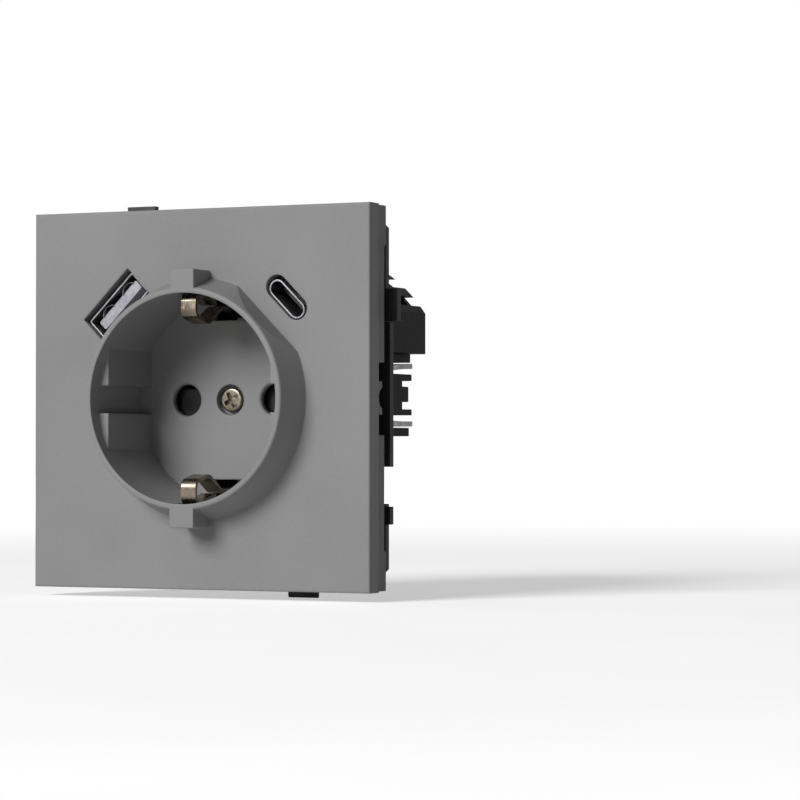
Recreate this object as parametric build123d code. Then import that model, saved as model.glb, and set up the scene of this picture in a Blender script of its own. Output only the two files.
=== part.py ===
from build123d import *
from build123d import SkipClean
import math
import os

# Earthed wall socket with two USB charging ports, for a round 60 mm wall box.
# Sizes are in millimetres. Seen from the front, X is to the right and Z is up; Y runs into the wall.
# The origin lies on the socket's axis, on the wall plane, which is the rear face of the support frame.

# Cover plate with its collar and recess
plate_side = 71.0
plate_thickness = 3.8
plate_offset = 10.0
plate_edge_round = 0.25
recess_radius = 19.5
recess_depth = 18.9
collar_height = 6.3
rim_width = 1.0
collar_draft = 2.0
rim_round = 0.4
cup_wall = 0.9
floor_thickness = 1.3
ear_width = 5.05
ear_height = 3.4
ear_round = 0.35
flat_step = 0.2
key_height = 2.4
key_half_height = 10.0
key_groove = 2.6
key_setback = 2.6
clip_channel_half = 2.1
clip_channel_depth = 2.3
clip_channel_setback = 1.3
clip_slot_depth = 4.4
clip_slot_half = 3.6

# Pins, screw and fits
pin_spacing = 19.0
pin_hole_radius = 3.0
pin_hole_chamfer = 0.35
pin_radius = 2.4
fit = 0.15
joint_gap = 0.1
running_gap = 0.08

# Cover screw
screw_head_radius = 2.3
screw_head_height = 1.3
screw_head_sink = 0.3
screw_well_radius = 2.925
screw_shank_radius = 1.75
screw_length = 9.1
screw_boss_radius = 3.9
cross_width = 0.8
cross_length = 3.1
cross_depth = 0.9
cross_turn = 30.0

# Backing frame behind the plate
backing_inset = 0.2
backing_web = 1.2
backing_depth = 2.7
backing_wall = 1.8
pad_height = 0.7
pad_start = 27.8
pad_chamfer = 0.5
window_low = -6.8
window_high = 6.5
window_depth = 3.0
window_web = 0.4
lug_half_height = 3.05
lug_depth = 1.83
lug_thickness = 1.4
lug_notch_radius = 1.97
lug_notch_setback = 2.39

# Support frame of sheet steel
sheet = 1.4
frame_half = 34.6
frame_land = 35.5
frame_land_low = -12.6
frame_land_high = 14.0
frame_corner = 3.2
tab_reach = 37.0
tab_low = 14.2
tab_high = 20.2
hook_low = -23.2
hook_high = -19.9
notch_low = -19.4
notch_floor = 33.0
frame_clearance = 0.8
box_screw_spacing = 60.0
box_slot_width = 3.6
box_slot_length = 5.6
wall_opening = 31.0
tip_start = 31.0
tip_thickness = 0.85
tip_round = 0.35

# Charging ports
port_turn = 45.0
usb_c_opening = (10.1, 4.4)
usb_c_opening_shift = 0.4
usb_c_size = (8.94, 3.26)
usb_c_stand_off = 5.4
usb_a_opening = (13.5, 6.6)
usb_a_size = (13.1, 5.2)
usb_a_stand_off = 4.5
usb_a_corner = 0.5
port_shell_wall = 0.3
corner_rest = 0.01
usb_a_sink = 1.0
usb_c_sink = 0.7
port_rear = 4.4
port_board_thickness = 1.0
usb_c_tongue = (6.7, 0.7)
usb_a_tongue = (11.1, 1.9)
usb_a_tongue_shift = 1.1
usb_a_contact = (1.2, 0.3)
usb_a_contact_pitch = 2.5
tongue_sink = 3.5
usb_a_tongue_sink = 1.2
port_base_depth = 2.5
port_clearance = 0.3
holder_wall = 1.0
holder_side_margin = 6.36
holder_inner_margin = 5.44
holder_low_margin = 2.94
holder_top_margin = 4.86
holder_windows = ((-1.94, 0.11), (1.86, 4.06))
holder_bridge = 2.2
holder_web = 0.6

# Socket housing
flange_thickness = 1.45
flange_lip = 0.5
wing_margin = 5.4
wing_half_height = 11.0
cover_wall = 0.8
inner_floor = 1.0
base_step = 5.1
base_wall = 0.85
base_flat_depth = 3.6
base_flat_wall = 0.8
base_rear = 11.9
carrier_fit = 0.2
block_bar = 1.65
block_high_front = 7.4
block_high_rear = 9.3
block_rear = 34.8
block_split = 14.5
lower_block_inset = 6.3
lower_block_step = 4.5
lower_block_rear = 22.1
lower_block_heel = (3.1, 1.6)
lower_block_round = 1.6
lower_block_slope = 2.7
base_seam = (0.3, 0.35)
lip_low = 2.4
lip_rear = 36.3
lip_inset = 0.4

# Shutter
shutter_thickness = 1.6
shutter_gap = 0.2
shutter_hub_radius = 5.0
shutter_arm_half = 3.1
shutter_reach = 13.2
shutter_ramp = 0.9
pivot_radius = 3.0
pivot_bore = 2.0
carrier_thickness = 1.0
spring_post = (5.6, 9.0)
spring_post_size = (2.0, 1.6)
shutter_spring_radius = 0.6
shutter_spring_wire = 0.25
shutter_spring_turns = 5

# Earth strap and contacts
strap_thickness = 0.65
strap_width = 3.1
strap_inset = 2.9
strap_pad_radius = 4.2
clip_points = ((13.1, 2.2), (7.9, 5.3), (2.8, 4.1), (3.0, -0.4), (10.5, 1.6))
clip_radii = (1.0, 3.0, 2.6, 1.5, 1.5)
nut_size = 6.4
nut_thickness = 2.4
sleeve_wall = 0.7
sleeve_length = 8.1
sleeve_slit = 0.8
sleeve_start = 0.3
contact_chamber_radius = 4.0
tail_width = 8.0
tail_shift = 2.0
tail_thickness = 0.8
tail_top = -3.0
tail_rear = 32.0
earth_tail_width = 6.0
chamber_low = -4.9
chamber_high = 6.0
chamber_front = 20.0
chamber_rear = 33.3
line_chamber_inner = 5.0
line_chamber_outer = 5.5
earth_chamber_half = 4.2
wire_hole_radius = 1.9
wire_hole_z = -1.2
wire_hole_pitch = 4.4
clamp_thickness = 0.4
clamp_width = 7.2
clamp_inset = 1.5
clamp_tip = 5.0

# Claws that spread in the wall box
claw_stand_off = 0.7
claw_z = 0.8
claw_sheet = 1.0
claw_half_span = 5.2
claw_splay = 0.9
claw_front = 13.3
claw_rear = 34.0
claw_corner = 2.1
claw_inner_reach = 4.0
claw_outer_reach = 4.2
claw_shoulder = 17.5
claw_neck_shift = -0.4
claw_tooth_shift = 0.7
claw_tooth_depth = 3.0
claw_tail_shift = -2.5
claw_collar_radius = 2.7
claw_collar_height = 1.4
claw_swing = 19.0
claw_screw_head_radius = 3.05
claw_screw_head_front = 7.0
claw_screw_radius = 1.7
claw_screw_end = 16.3
claw_washer_radius = 2.75
claw_washer_thickness = 0.6
claw_seat = 9.4
claw_pocket_reach = 5.5
tool_bore_radius = 3.9
boss_radius = 6.35
boss_end = 9.3
boss_open = 7.0
fork_reach = 2.0
fork_thickness = 0.95
bracket_span = 14.8
bracket_thickness = 1.65
slot_clearance = 0.25
guide_low = -2.7
guide_high = 5.3
guide_proud = 0.6
guide_front = 17.0

# Release buttons
button_recess = (30.5, -1.55, 4.05)
button_recess_depth = 3.3
button_front = 31.4
button_rear = 34.6
button_low = -0.1
button_high = 2.9
button_depth = 3.0
button_nose_reach = 1.0
button_nose = (31.7, 33.0)
button_nose_margin = 0.5
button_travel = 0.8
button_spring_front = 29.0
button_spring_radius = 0.85
button_spring_wire = 0.25
button_spring_turns = 3

# USB charger housing
module_stand_off = 8.2
module_side_margin = 2.85
module_front = 1.3
module_split = 14.5
module_rear = 37.0
module_wall = 1.6
module_neck_step = 2.4
module_neck_low = 17.3
module_corner = 0.8
vent_front = 24.9
vent_centres = (19.6, 23.25)
vent_height = 1.8
seam_depth = 0.35
board_stand_off = 3.3
board_thickness = 1.6
board_margin = 3.15
board_front = 15.2
board_rear = 34.4
rib_width = 1.6
core_size = (15.0, 14.0, 11.0)
core_y = 24.0
winding_wall = 2.0
capacitor_radius = 3.8
capacitor_height = 5.6
capacitor_x = 15.5
capacitor_places = (20.0, 29.0)

# Rivets between support frame and socket housing
rivet_shift = 2.2
rivet_z = 9.4
rivet_radius = 1.1
rivet_head_radius = 1.9
rivet_head_height = 0.6

# Levels along Y that follow from the sizes above
plate_front = -plate_offset
plate_rear = plate_front + plate_thickness
rim_front = plate_front - collar_height
floor_front = rim_front + recess_depth
floor_rear = floor_front + floor_thickness
web_rear = plate_rear + backing_web
backing_rear = plate_rear + backing_depth
inner_floor_front = floor_rear + joint_gap
inner_floor_rear = inner_floor_front + inner_floor
shutter_front = inner_floor_rear + shutter_gap
shutter_rear = shutter_front + shutter_thickness
carrier_front = shutter_rear + shutter_gap
carrier_rear = carrier_front + carrier_thickness
strap_rear = carrier_rear + strap_thickness
screw_seat = floor_front + screw_head_sink + screw_head_height
usb_a_front = plate_front + usb_a_sink
usb_c_front = plate_front + usb_c_sink

# Radii round the socket's axis that follow from the sizes above
cup_radius = recess_radius + cup_wall
rim_radius = recess_radius + rim_width
collar_radius = rim_radius + collar_draft
port_flat = rim_radius + flat_step
ear_reach = rim_radius + ear_height
key_flat = recess_radius - key_height
clip_channel_reach = recess_radius + clip_channel_depth
clip_slot_inner = recess_radius - clip_slot_depth
strap_leg = recess_radius - strap_inset
frame_opening = cup_radius + frame_clearance
usb_c_distance = cup_radius + usb_c_stand_off
usb_a_distance = cup_radius + usb_a_stand_off
cover_inner_radius = cup_radius + fit
cover_outer_radius = cover_inner_radius + cover_wall
base_bore_radius = cover_outer_radius + joint_gap
base_ring_radius = base_bore_radius + base_wall
flange_radius = base_ring_radius + flange_lip
module_clear_radius = base_ring_radius + fit
module_radius = base_ring_radius + module_stand_off
module_neck_radius = module_radius - module_neck_step

# Distances from the socket's axis, sideways and up, that follow from the sizes above
pin_x = pin_spacing / 2
port_place = usb_c_distance * math.sin(math.radians(port_turn))
block_half = base_ring_radius
claw_x = base_ring_radius + claw_stand_off
claw_inner = claw_x - claw_inner_reach
claw_outer = claw_x + claw_outer_reach
claw_pocket_inner = claw_x - claw_pocket_reach
wing_reach = claw_x + wing_margin
rivet_x = claw_x + rivet_shift
guide_half = block_half + guide_proud
button_inner = block_half - button_depth
button_spring_x = block_half - button_depth / 2
button_recess_inner = block_half - button_recess_depth
tail_x = pin_x + tail_shift
line_chamber = (tail_x - line_chamber_inner, tail_x + line_chamber_outer)
module_half = base_ring_radius + module_side_margin
board_half = module_half - board_margin
board_low = block_high_rear + board_stand_off
base_flat = base_flat_depth - base_ring_radius
lower_flat = base_flat + base_flat_wall
carrier_radius = -lower_flat - carrier_fit
lower_block_low = base_flat + lower_block_step
lower_block_half = base_ring_radius - lower_block_inset
block_low = claw_z - claw_half_span - claw_sheet / 2 - slot_clearance - block_bar


def front_view(y):
    """Drawing plane at depth y, as seen from the front."""
    return Plane(origin=(0, y, 0), x_dir=(1, 0, 0), z_dir=(0, -1, 0))


def slab(outline, start, end):
    """An outline drawn as seen from the front, made solid between two depths."""
    return extrude(front_view(start) * outline, amount=end - start, dir=(0, 1, 0))


def disc(radius, start, end, x=0.0, z=0.0):
    """A round slab about an axis along Y."""
    return slab(Pos(x, z) * Circle(radius), start, end)


def block(x_range, y_range, z_range):
    """A cuboid between two corners."""
    size = [high - low for low, high in (x_range, y_range, z_range)]
    centre = [(high + low) / 2 for low, high in (x_range, y_range, z_range)]
    return Pos(*centre) * Box(*size)


def band(low, high, half_width):
    """A rectangle as seen from the front, between two heights and centred in width."""
    return Pos(0, (low + high) / 2) * Rectangle(2 * half_width, high - low)


def mirrored(part):
    """The left-hand twin of a right-hand piece."""
    return mirror(part, about=Plane.YZ)


def strip(points, radii, thickness, width, x=0.0):
    """Sheet strip of constant thickness, bent along a route of (y, z) points and centred on x."""
    corners = [Vector(x, y, z) for y, z in points]
    path = FilletPolyline(*corners, radius=list(radii))
    start = Plane(origin=path @ 0, x_dir=(1, 0, 0), z_dir=path % 0)
    return sweep(start * Rectangle(width, thickness), path=path)


def port_outline(size, distance, corner, turn):
    """Outline of a port that stands square to the radius at the given turn from the vertical."""
    width, height = size
    return Rot(0, 0, turn) * Pos(0, distance) * RectangleRounded(width, height, corner)


def grown(size, margin):
    """A width and height with the same margin added all round."""
    return (size[0] + 2 * margin, size[1] + 2 * margin)


def usb_c_outline(margin=0.0):
    """Stadium outline of the USB-C port with a margin."""
    size = grown(usb_c_size, margin)
    return port_outline(size, usb_c_distance, size[1] / 2 - corner_rest, -port_turn)


def usb_a_outline(margin=0.0):
    """Outline of the USB-A port with a margin."""
    return port_outline(grown(usb_a_size, margin), usb_a_distance, usb_a_corner + margin, port_turn)


def port_passages(margin, start, end):
    """Clearances for both ports between two depths."""
    return slab(usb_c_outline(margin), start, end) + slab(usb_a_outline(margin), start, end)


def clip_slots(start, end):
    """Slots above and below, through which the earth clips reach the recess."""
    height = recess_radius - clip_slot_inner
    centre = (recess_radius + clip_slot_inner) / 2
    slot = Rectangle(2 * clip_slot_half, height)
    slots = slab(Pos(0, centre) * slot, start, end) + slab(Pos(0, -centre) * slot, start, end)
    return slots & disc(recess_radius, start, end)


def pin_holes(radius, start, end):
    """Pair of round holes on the pin axes."""
    return disc(radius, start, end, pin_x) + disc(radius, start, end, -pin_x)


def make_collar():
    """Tapered collar with a rounded rim, flattened where the ports come close."""
    profile = Polygon((0, plate_rear), (collar_radius, plate_rear), (collar_radius, plate_front),
                      (rim_radius, rim_front), (0, rim_front), align=None)
    collar = revolve(profile, axis=Axis.Y)
    rim = collar.edges().filter_by(GeomType.CIRCLE).sort_by(Axis.Y)[0]
    collar = fillet(rim, rim_round)
    for turn in (-port_turn, port_turn):
        side = Rot(0, 0, turn) * Pos(0, port_flat + collar_radius) * Rectangle(plate_side, 2 * collar_radius)
        collar -= slab(side, rim_front, plate_front)
    return collar


def make_ear():
    """Keying ear that stands on the collar."""
    height = ear_reach - recess_radius
    ear = block((-ear_width / 2, ear_width / 2), (rim_front, plate_rear), (ear_reach - height, ear_reach))
    return fillet(ear.edges().filter_by(Axis.Y).group_by(Axis.Z)[-1], ear_round)


def make_key():
    """Guide block at the right of the recess, with a groove for the plug's rib."""
    start = rim_front + key_setback
    outline = Circle(recess_radius + cup_wall / 2) & (Pos(key_flat + recess_radius) * Rectangle(
        2 * recess_radius, 2 * key_half_height))
    groove = Pos(recess_radius) * Rectangle(2 * recess_radius, 2 * key_groove)
    return slab(outline - (groove & Circle(recess_radius)), start, floor_front)


def make_cover_plate():
    """Front plate, collar, ears and recess cup, moulded as one piece."""
    plate = slab(Rectangle(plate_side, plate_side), plate_front, plate_rear)
    plate = fillet(plate.edges().group_by(Axis.Y)[0], plate_edge_round)
    body = plate + make_collar() + disc(cup_radius, plate_rear, floor_rear)
    ear = make_ear()
    body += ear + mirror(ear, about=Plane.XY)
    body -= disc(recess_radius, rim_front, floor_front)
    key = make_key()
    body += key + mirrored(key)
    channel = block((-clip_channel_half, clip_channel_half),
                    (rim_front + clip_channel_setback, plate_rear - joint_gap),
                    (clip_slot_inner, clip_channel_reach))
    body -= channel + mirror(channel, about=Plane.XY)
    body -= clip_slots(floor_front, floor_rear)
    body -= pin_holes(pin_hole_radius, floor_front, floor_rear)
    for side in (1, -1):
        rim = Pos(side * pin_x, floor_front) * Rot(90, 0, 0)
        mouth = Cone(pin_hole_radius + 2 * pin_hole_chamfer, pin_hole_radius, 2 * pin_hole_chamfer)
        body -= rim * Rot(180, 0, 0) * mouth
    body += disc(screw_boss_radius, floor_rear, inner_floor_rear)
    body -= disc(screw_well_radius, floor_front, screw_seat)
    body -= disc(screw_shank_radius + fit, screw_seat, inner_floor_rear)
    opening_c = port_outline(usb_c_opening, usb_c_distance + usb_c_opening_shift,
                             usb_c_opening[1] / 2 - corner_rest, -port_turn)
    opening_a = port_outline(usb_a_opening, usb_a_distance, usb_a_corner / 2, port_turn)
    body -= slab(opening_c, plate_front, plate_rear)
    body -= slab(opening_a - Circle(cup_radius), plate_front, plate_rear)
    return body


def make_backing_frame():
    """Shallow frame behind the plate: web, rim wall, corner pads and a notched lug at each side."""
    half = plate_side / 2 - backing_inset
    outer = Rectangle(2 * half, 2 * half)
    ring = outer - Rectangle(2 * (half - backing_wall), 2 * (half - backing_wall))
    frame = slab(outer, plate_rear, web_rear) + slab(ring, web_rear, backing_rear)
    pad_profile = Polygon((pad_start, backing_rear), (pad_start + pad_chamfer, backing_rear + pad_height),
                          (half, backing_rear + pad_height), (half, backing_rear), align=None)
    pads = extrude(Plane.XY * pad_profile, amount=half, both=True)
    pads += mirrored(pads)
    pads_z = Rot(0, 90, 0) * pads
    frame += (pads & pads_z) & slab(ring, backing_rear, backing_rear + pad_height)
    frame -= disc(cup_radius + fit, plate_rear, web_rear)
    frame -= port_passages(port_clearance + holder_wall, plate_rear, web_rear)
    for side in (1, -1):
        inner = half - window_depth
        reach = sorted((side * inner, side * plate_side / 2))
        frame -= block(reach, (plate_rear + window_web, backing_rear + pad_height), (window_low, window_high))
        face = sorted((side * (half - lug_thickness), side * half))
        lug = block(face, (plate_rear, plate_rear + lug_depth), (-lug_half_height, lug_half_height))
        notch_y = plate_rear + lug_notch_setback
        notch = Pos(side * half, notch_y) * Rot(0, 90, 0) * Cylinder(lug_notch_radius, 4 * lug_thickness)
        frame += lug - notch
    return frame


def make_support_frame():
    """Stamped sheet-steel frame with four-fold interlocking edges.

    Its rear face is divided at the wall's opening: the outer part lies on the wall.
    """
    outline = Rectangle(2 * frame_half, 2 * frame_half)
    outline = chamfer(outline.vertices(), frame_corner)

    def edge(inner, outer, low, high):
        return Pos((inner + outer) / 2, (low + high) / 2) * Rectangle(outer - inner, high - low)

    for turn in range(4):
        quarter = Rot(0, 0, 90 * turn)
        outline += quarter * edge(notch_floor, frame_land, frame_land_low, frame_land_high)
        outline += quarter * edge(notch_floor, tab_reach, tab_low, tab_high)
        outline += quarter * edge(notch_floor, frame_land, hook_low, hook_high)
        outline -= quarter * edge(notch_floor, tab_reach, notch_low, frame_land_low)
    outline -= Circle(frame_opening)
    outline -= Pos(claw_x, claw_z) * Circle(tool_bore_radius)
    outline -= Pos(-claw_x, claw_z) * Circle(tool_bore_radius)
    outline -= usb_c_outline(port_clearance) + usb_a_outline(port_clearance)
    for side in (1, -1):
        slot = Rot(0, 0, 90) * SlotOverall(box_slot_length, box_slot_width)
        outline -= Pos(0, side * box_screw_spacing / 2) * slot
        for height in (rivet_z, -rivet_z):
            outline -= Pos(side * rivet_x, height) * Circle(rivet_radius + running_gap / 2)
    frame = slab(outline, -sheet, 0)
    wedge = Plane.YZ * Polygon((-sheet, -tip_start), (-sheet, -tab_reach), (-tip_thickness, -tab_reach),
                               align=None)
    frame -= extrude(wedge, amount=tab_high)
    tip = frame.edges().filter_by(Axis.X).group_by(Axis.Z)[0]
    frame = fillet(tip, tip_round)
    opening = disc(wall_opening, -sheet, 0)
    outer = frame - opening
    inner = frame & opening
    with SkipClean():
        return outer + inner


def make_port_shell(outline, inner, start):
    """Folded steel shell of a port, open at the front."""
    return slab(outline, start, port_rear) - slab(inner, start, port_rear)


def make_usb_c_tongue():
    """Tongue of the USB-C port with its base."""
    tongue = slab(port_outline(usb_c_tongue, usb_c_distance, usb_c_tongue[1] / 2 - corner_rest, -port_turn),
                  usb_c_front + tongue_sink, port_rear)
    return tongue + slab(usb_c_outline(-port_shell_wall), port_rear - port_base_depth, port_rear)


def make_usb_a_tongue():
    """Tongue of the USB-A port with its four contacts and its base."""
    distance = usb_a_distance - usb_a_tongue_shift
    front = usb_a_front + usb_a_tongue_sink
    tongue = slab(port_outline(usb_a_tongue, distance, 0.3, port_turn), front, port_rear)
    for place in range(4):
        shift = (place - 1.5) * usb_a_contact_pitch
        height = distance + usb_a_tongue[1] / 2 + usb_a_contact[1] / 2
        contact = Rot(0, 0, port_turn) * Pos(shift, height) * Rectangle(*usb_a_contact)
        tongue += slab(contact, front + usb_a_tongue_sink, port_rear)
    return tongue + slab(usb_a_outline(-port_shell_wall), port_rear - port_base_depth, port_rear)


def make_port_holder():
    """White moulding that keeps both ports in line between plate and support frame."""
    start = web_rear
    end = -sheet
    bottom = port_place - holder_low_margin
    top = port_place + holder_top_margin
    above = band(bottom, plate_side / 2, plate_side / 2)
    outline = band(bottom, top, port_place + holder_side_margin)
    outline -= band(bottom, top, port_place - holder_inner_margin)
    outline += Circle(cup_radius + fit + holder_bridge) & above
    outline += (usb_c_outline(holder_wall) + usb_a_outline(holder_wall)) & above
    outline -= Circle(cup_radius + fit)
    holder = slab(outline, start, end)
    holder -= port_passages(joint_gap, start, end)
    for low, high in holder_windows:
        window = block((port_place, plate_side), (start + holder_web, end),
                       (port_place + low, port_place + high))
        holder -= window + mirrored(window)
    return holder


def make_port_board():
    """Small crescent-shaped board that carries both ports inside the charger housing."""
    inner = module_clear_radius + module_wall + joint_gap
    outer = module_radius - module_wall - joint_gap
    half = module_half - module_wall - joint_gap
    low = block_high_front + module_wall + joint_gap
    outline = (Circle(outer) - Circle(inner)) & band(low, module_radius, half)
    return slab(outline, port_rear, port_rear + port_board_thickness)


def wings(radius):
    """Flange outline: a disc with a wing at each side for the claw screws."""
    return Circle(radius) + (Circle(wing_reach) & band(-wing_half_height, wing_half_height, wing_reach))


def tool_passages(radius, start, end):
    """Round passages in front of both claw screws."""
    return disc(radius, start, end, claw_x, claw_z) + disc(radius, start, end, -claw_x, claw_z)


def make_contact_cover():
    """Front moulding of the socket housing: flange, wall round the recess cup and inner floor."""
    through = usb_c_outline(port_clearance) + usb_a_outline(port_clearance)
    for side in (1, -1):
        through += Pos(side * claw_x, claw_z) * Circle(tool_bore_radius)
    flange = wings(flange_radius) - Circle(cover_inner_radius) - through
    for side in (1, -1):
        for height in (rivet_z, -rivet_z):
            flange -= Pos(side * rivet_x, height) * Circle(rivet_radius + running_gap / 2)
    wall = Circle(cover_outer_radius) - Circle(cover_inner_radius) - through
    floor = Circle(cover_outer_radius) & band(lower_flat, cover_outer_radius, cover_outer_radius)
    floor -= Circle(screw_boss_radius + fit) + through
    body = slab(flange, 0, flange_thickness)
    body += slab(wall, flange_thickness, inner_floor_front)
    body += slab(floor, inner_floor_front, inner_floor_rear)
    body -= pin_holes(pin_hole_radius, inner_floor_front, inner_floor_rear)
    return body - clip_slots(inner_floor_front, inner_floor_rear)


def make_shutter_carrier():
    """Plate behind the shutter that closes the contact chambers and carries the pivot."""
    body = disc(carrier_radius, carrier_front, carrier_rear)
    body += disc(pivot_radius, inner_floor_rear + joint_gap, carrier_front)
    body -= disc(pivot_bore, inner_floor_rear, carrier_rear)
    body -= pin_holes(pin_hole_radius, carrier_front, carrier_rear)
    body -= clip_slots(carrier_front, carrier_rear)
    post_x, post_z = spring_post
    width, height = spring_post_size
    body += block((post_x - width / 2, post_x + width / 2), (shutter_front, carrier_front),
                  (post_z, post_z + height))
    return body


def make_shutter():
    """Two-armed rotary shutter; a ramp on each arm lets both pins turn it aside together."""
    hub = Circle(shutter_hub_radius) + Rectangle(2 * shutter_reach, 2 * shutter_arm_half)
    outline = (hub & Circle(shutter_reach)) - Circle(pivot_radius + running_gap)
    body = slab(outline, shutter_front, shutter_rear)
    edges = body.edges().filter_by(Axis.X).group_by(Axis.Y)[0]
    ramps = [edge for edge in edges if edge.center().X * edge.center().Z < 0]
    return chamfer(ramps, shutter_ramp)


def coil(radius, wire, turns, start, end, axis_plane):
    """Compression spring between two distances along the normal of a plane."""
    height = end - start - 2 * wire
    path = Helix(pitch=height / turns, height=height, radius=radius)
    section = Plane(origin=path @ 0, z_dir=path % 0) * Circle(wire)
    return axis_plane * Pos(0, 0, start + wire) * sweep(section, path=path, is_frenet=True)


def make_shutter_spring():
    """Return spring between the shutter's arm and its post."""
    post_x, post_z = spring_post
    middle = (shutter_front + shutter_rear) / 2
    plane = Plane(origin=(post_x, middle, 0), x_dir=(1, 0, 0), z_dir=(0, 0, 1))
    return coil(shutter_spring_radius, shutter_spring_wire / 2, shutter_spring_turns,
                shutter_arm_half, post_z, plane)


def make_earth_strap():
    """Bent strip with an earth clip at each end, its screw pad and its terminal tail."""
    middle = (carrier_rear + strap_rear) / 2
    clip = [(rim_front + behind, recess_radius - inside) for behind, inside in clip_points]
    half = strip([(middle, 0), (middle, strap_leg)] + clip, clip_radii, strap_thickness, strap_width)
    body = half + mirror(half, about=Plane.XY)
    body += disc(strap_pad_radius, carrier_rear, strap_rear)
    body -= disc(pivot_bore, carrier_rear, strap_rear)
    tail = block((-earth_tail_width / 2, earth_tail_width / 2), (carrier_rear, tail_rear),
                 (tail_top - tail_thickness, tail_top))
    return body + tail


def make_screw_nut():
    """Square nut behind the strap for the cover screw."""
    nut = slab(RectangleRounded(nut_size, nut_size, 0.4), strap_rear, strap_rear + nut_thickness)
    nut -= disc(screw_shank_radius + running_gap, strap_rear, strap_rear + nut_thickness)
    tail_room = block((-nut_size, nut_size), (strap_rear, strap_rear + nut_thickness),
                      (-nut_size, tail_top + joint_gap))
    return nut - tail_room


def cross_recess(x, z, front, turn):
    """Cross-shaped driver recess in a screw head."""
    cross = Rectangle(cross_length, cross_width) + Rectangle(cross_width, cross_length)
    return slab(Pos(x, z) * Rot(0, 0, turn) * cross, front, front + cross_depth)


def make_cover_screw():
    """Screw in the middle of the recess that holds the cover plate."""
    front = screw_seat - screw_head_height
    head = disc(screw_head_radius, front, screw_seat)
    head = fillet(head.edges().sort_by(Axis.Y)[0], 0.4)
    shank = disc(screw_shank_radius, screw_seat, screw_seat + screw_length)
    return head + chamfer(shank.edges().sort_by(Axis.Y)[-1], 0.4) - cross_recess(0, 0, front, cross_turn)


def make_contact():
    """Right-hand pin contact: slit sleeve with the tail that the wires are clamped to."""
    start = carrier_rear + sleeve_start
    end = start + sleeve_length
    sleeve = disc(pin_radius + sleeve_wall, start, end, pin_x) - disc(pin_radius, start, end, pin_x)
    slit = sleeve_slit / 2
    sleeve -= block((pin_x, pin_x + 2 * pin_radius), (start, end - sleeve_wall), (-slit, slit))
    tail = block((tail_x - tail_width / 2, tail_x + tail_width / 2), (end - 2 * pin_radius, tail_rear),
                 (tail_top - tail_thickness, tail_top))
    neck = block((pin_x - pin_radius / 2, pin_x + pin_radius / 2), (end - 2 * pin_radius, end),
                 (tail_top - tail_thickness, -pin_radius - sleeve_wall / 2))
    return sleeve + tail + neck


def make_clamp(x, width):
    """Cage spring that presses the wires against a contact tail."""
    top = chamber_high - clamp_thickness / 2
    tip = tail_top + clamp_thickness
    route = [(chamber_front + clamp_inset, top), (chamber_rear - clamp_inset, top),
             (chamber_front + clamp_tip, tip)]
    return strip(route, (1.2,), clamp_thickness, width, x)


def make_claw():
    """Right-hand spreading claw: U of zinc-plated strip, tapered in plan, with an extruded thread collar."""
    middle = claw_front + claw_sheet / 2
    top = claw_z + claw_half_span
    bottom = claw_z - claw_half_span
    route = [(claw_rear, top + claw_splay), (middle, top), (middle, bottom), (claw_rear, bottom)]
    width = 2 * (claw_outer - claw_pocket_inner)
    body = strip(route, (claw_corner, claw_corner), claw_sheet, width, claw_x)
    tooth_start = claw_rear - claw_tooth_depth
    plan = Polygon((claw_inner, claw_front - claw_sheet), (claw_outer, claw_front - claw_sheet),
                   (claw_outer, claw_shoulder), (claw_x + claw_neck_shift, tooth_start),
                   (claw_x + claw_tooth_shift, claw_rear + claw_sheet),
                   (claw_x + claw_tail_shift, claw_rear + claw_sheet), (claw_inner, tooth_start), align=None)
    height = 2 * (claw_half_span + claw_splay + claw_sheet)
    body &= extrude(Plane.XY.offset(claw_z - height / 2) * plan, amount=height)
    rear = claw_front + claw_sheet
    body += disc(claw_collar_radius, rear, rear + claw_collar_height, claw_x, claw_z)
    return body - disc(claw_screw_radius + running_gap, claw_front, rear + claw_collar_height, claw_x, claw_z)


def make_claw_screw():
    """Right-hand claw screw."""
    washer_front = claw_seat - claw_washer_thickness
    head = disc(claw_screw_head_radius, claw_screw_head_front, washer_front, claw_x, claw_z)
    head = fillet(head.edges().sort_by(Axis.Y)[0], 0.5)
    shank = disc(claw_screw_radius, washer_front, claw_screw_end, claw_x, claw_z)
    shank = chamfer(shank.edges().sort_by(Axis.Y)[-1], 0.4)
    return head + shank - cross_recess(claw_x, claw_z, claw_screw_head_front, 0)


def make_claw_washer():
    """Washer on which the head of the claw screw turns and tilts."""
    start = claw_seat - claw_washer_thickness
    washer = disc(claw_washer_radius, start, claw_seat, claw_x, claw_z)
    return washer - disc(claw_screw_radius + running_gap, start, claw_seat, claw_x, claw_z)


def make_claw_bracket():
    """Pale bracket behind the flange, open towards the recess cup, with a half-hexagon outer edge."""
    hexagon = Pos(claw_x, claw_z) * Rot(0, 0, 30) * RegularPolygon(bracket_span / 2, 6)
    outline = hexagon - Circle(base_bore_radius + joint_gap)
    outline -= Pos(claw_x, claw_z) * Circle(tool_bore_radius)
    body = slab(outline, flange_thickness, flange_thickness + bracket_thickness)
    above = block((0, wing_reach + 2), (flange_thickness, base_step), (block_high_front, block_high_rear))
    return body - above


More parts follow.
